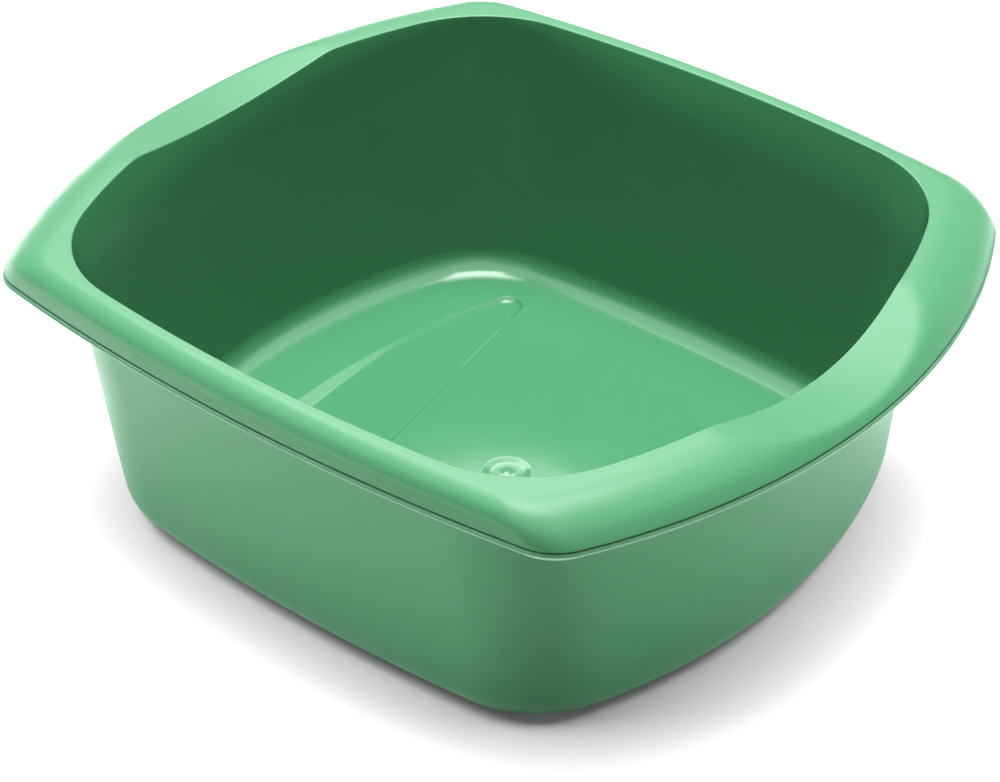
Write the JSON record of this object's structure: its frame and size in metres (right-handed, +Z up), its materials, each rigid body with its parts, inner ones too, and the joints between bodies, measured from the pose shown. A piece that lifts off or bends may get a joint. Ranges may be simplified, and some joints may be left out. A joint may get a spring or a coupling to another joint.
{
  "type": "washing up bowl",
  "caption": "Open moulded bowl for washing dishes: bowed sides, rolled rim with a thumb scoop in each end handle, raised foot.",
  "frame": {"origin": "on the ground, under the middle of the floor", "axes": "+X along the bowl to the handle that is nearest in the picture, +Y across it to the far long side, +Z up"},
  "size_m": [0.38, 0.32, 0.136],
  "materials": {
    "green_polypropylene": "self-coloured moulded polypropylene, glossy inside and satin outside"
  },
  "bodies": {
    "root": {"back_rim": "green_polypropylene", "back_wall": "green_polypropylene", "base_panel": "green_polypropylene", "base_ramp": "green_polypropylene", "foot_ring": "green_polypropylene", "front_rim": "green_polypropylene", "front_wall": "green_polypropylene", "gate_dimple": "green_polypropylene", "left_handle": "green_polypropylene", "left_wall": "green_polypropylene", "right_handle": "green_polypropylene", "right_wall": "green_polypropylene", "rim_lip": "green_polypropylene"}
  },
  "joints": []
}
